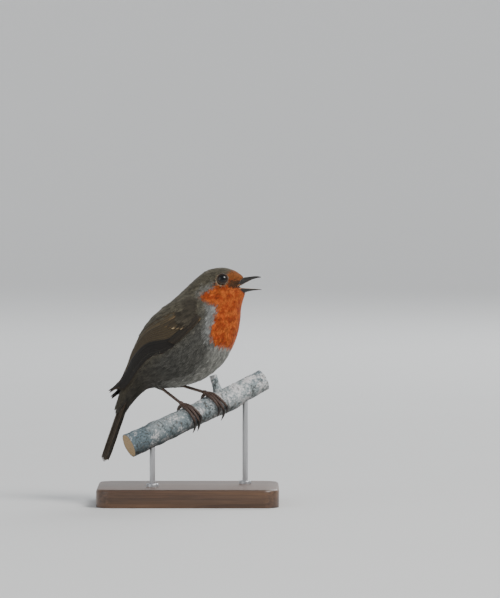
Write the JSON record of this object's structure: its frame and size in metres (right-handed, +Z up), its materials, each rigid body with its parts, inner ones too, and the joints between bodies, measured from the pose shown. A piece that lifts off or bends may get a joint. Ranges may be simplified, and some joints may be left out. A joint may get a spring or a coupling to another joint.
{
  "type": "robin",
  "caption": "Life-size singing robin with an open bill, perched on a short cut length of branch that rods hold over a flat wooden display base.",
  "frame": {"origin": "middle of the display base's underside, on the surface it stands on", "axes": "+X the way the bird faces, +Y to the bird's left, +Z up; the bird itself is turned 8 degrees to its right"},
  "size_m": [0.1, 0.076, 0.1302],
  "materials": {
    "feathers": "soft overlapping feathers, grey-brown above with an orange face and breast",
    "flight_feathers": "smooth, brown with paler edges",
    "bill": "horn, low gloss",
    "mouth": "moist",
    "eye": "polished",
    "leg_skin": "scaled, satin",
    "claw": "horn",
    "bark": "smooth pale bark, sawn ends",
    "stand_wood": "oiled, satin",
    "stand_metal": "satin"
  },
  "bodies": {
    "root": {"bill_lower": "bill", "bill_upper": "bill", "claw_1_left": "claw", "claw_1_right": "claw", "claw_2_left": "claw", "claw_2_right": "claw", "claw_3_left": "claw", "claw_3_right": "claw", "claw_4_left": "claw", "claw_4_right": "claw", "eye_left": "eye", "eye_right": "eye", "foot_left": "leg_skin", "foot_right": "leg_skin", "head": "feathers", "neck": "feathers", "perch": "bark", "stand_base": "stand_wood", "stand_rod_high": "stand_metal", "stand_rod_low": "stand_metal", "tail": "flight_feathers", "tail_coverts": "feathers", "tarsus_left": "leg_skin", "tarsus_right": "leg_skin", "thigh_left": "feathers", "thigh_right": "feathers", "tongue": "mouth", "trunk": "feathers", "wing_coverts_left": "flight_feathers", "wing_coverts_right": "flight_feathers", "wing_primaries_left": "flight_feathers", "wing_primaries_right": "flight_feathers", "wing_secondaries_left": "flight_feathers", "wing_secondaries_right": "flight_feathers"}
  },
  "joints": []
}
